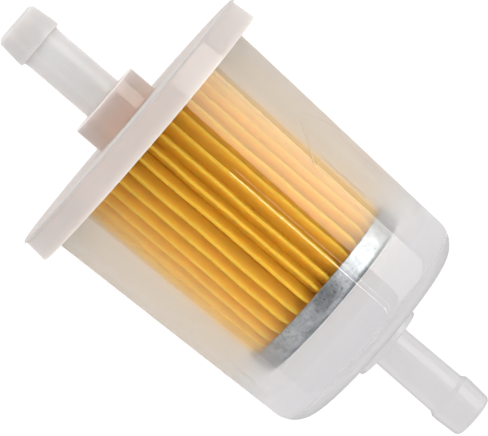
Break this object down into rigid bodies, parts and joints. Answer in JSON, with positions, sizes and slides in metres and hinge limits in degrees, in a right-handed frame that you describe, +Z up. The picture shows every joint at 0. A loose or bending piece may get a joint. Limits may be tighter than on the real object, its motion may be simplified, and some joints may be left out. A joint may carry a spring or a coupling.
{
  "type": "inline fuel filter",
  "caption": "Inline fuel filter with a translucent tapered cup, a flanged lid, hose nipples at both ends and a pleated paper element inside.",
  "frame": {"origin": "on the filter's axis, half way between the two nipple tips", "axes": "+X along the filter's axis in the direction of flow, from the cup's inlet nipple to the lid's outlet nipple; +Z up, with the raised flow arrow 58.5 degrees from +Z towards -Y"},
  "size_m": [0.0832, 0.0438, 0.0438],
  "materials": {
    "cup_plastic": "translucent unpigmented nylon, glossy outside, hazy within",
    "lid_plastic": "milky white moulded nylon, glossy, barely see-through",
    "filter_paper": "resin-treated golden filter paper, fine fibres, folded sharp",
    "galvanised_steel": "galvanised sheet steel with spangle and fine scratches",
    "core_steel": "plain perforated steel",
    "adhesive": "cured amber adhesive, satin"
  },
  "bodies": {
    "root": {"housing_cup": "cup_plastic", "housing_lid": "lid_plastic", "weld_ring": "lid_plastic", "pleated_paper": "filter_paper", "paper_seam": "adhesive", "closed_end_cap": "galvanised_steel", "closed_end_potting": "adhesive", "open_end_potting": "adhesive", "core_tube": "core_steel"}
  },
  "joints": []
}
